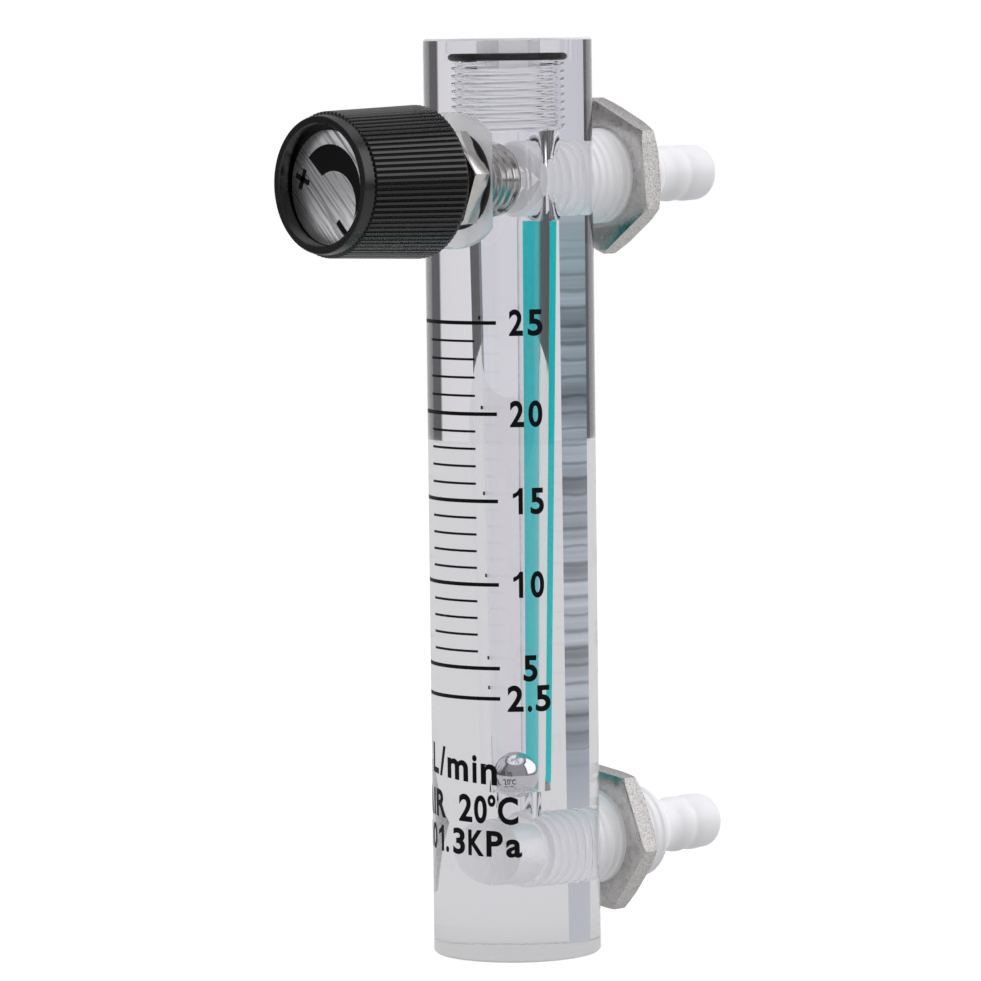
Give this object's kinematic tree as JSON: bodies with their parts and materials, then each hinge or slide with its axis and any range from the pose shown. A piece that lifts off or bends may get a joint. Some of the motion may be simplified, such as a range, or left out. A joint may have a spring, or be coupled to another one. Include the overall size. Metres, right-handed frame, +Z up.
{
  "type": "rotameter",
  "caption": "Panel rotameter: clear rod with a tapered bore, steel ball float, needle valve with fluted knob and two hose tails with panel nuts.",
  "frame": {"origin": "centre of the round base on the tube axis", "axes": "+Z up along the tube, +Y out of the milled back flat towards the hose tails, -Y towards the valve knob"},
  "size_m": [0.022, 0.0684, 0.12],
  "materials": {
    "clear_rod": "clear polished acrylic with machined, slightly frosted bores",
    "clear_plug": "clear turned acrylic",
    "seal_rubber": "black nitrile rubber",
    "ball_steel": "polished steel",
    "fitting_nylon": "natural white moulded nylon, slightly translucent",
    "nut_metal": "bright nickel-plated faces with coarse sawn flats",
    "bonnet_metal": "nickel-plated brass",
    "stem_metal": "turned stainless steel",
    "knob_black": "black anodised, fine straight flutes",
    "label_metal": "brushed disc with a printed plus, minus and tapering arc"
  },
  "bodies": {
    "root": {"body": "clear_rod", "top_plug": "clear_plug", "plug_o_ring": "seal_rubber", "inlet_fitting": "fitting_nylon", "outlet_fitting": "fitting_nylon", "inlet_o_ring": "seal_rubber", "outlet_o_ring": "seal_rubber", "inlet_nut": "nut_metal", "outlet_nut": "nut_metal", "valve_bonnet": "bonnet_metal", "bonnet_o_ring": "seal_rubber"},
    "float": {"float_ball": "ball_steel"},
    "stem_seal": {"stem_o_ring": "seal_rubber"},
    "knob": {"needle_stem": "stem_metal", "knob": "knob_black", "knob_label": "label_metal", "knob_set_screw": "stem_metal"}
  },
  "joints": [
    {"name": "float_rise", "type": "slide", "parent": "root", "child": "float", "axis": [0, 0, 1], "range_m": [0, 0.07]},
    {"name": "valve_travel", "type": "slide", "parent": "root", "child": "stem_seal", "axis": [0, 1, 0], "range_m": [-0.0015, 0.0015]},
    {"name": "knob_turn", "type": "hinge", "parent": "stem_seal", "child": "knob", "pos_m": [0, -0.0243, 0.1017], "axis": [0, 1, 0], "range_deg": [-1080, 1080]}
  ],
  "couplings": [
    {"joint": "knob_turn", "follows": "valve_travel", "rad_per_m": 12566}
  ]
}
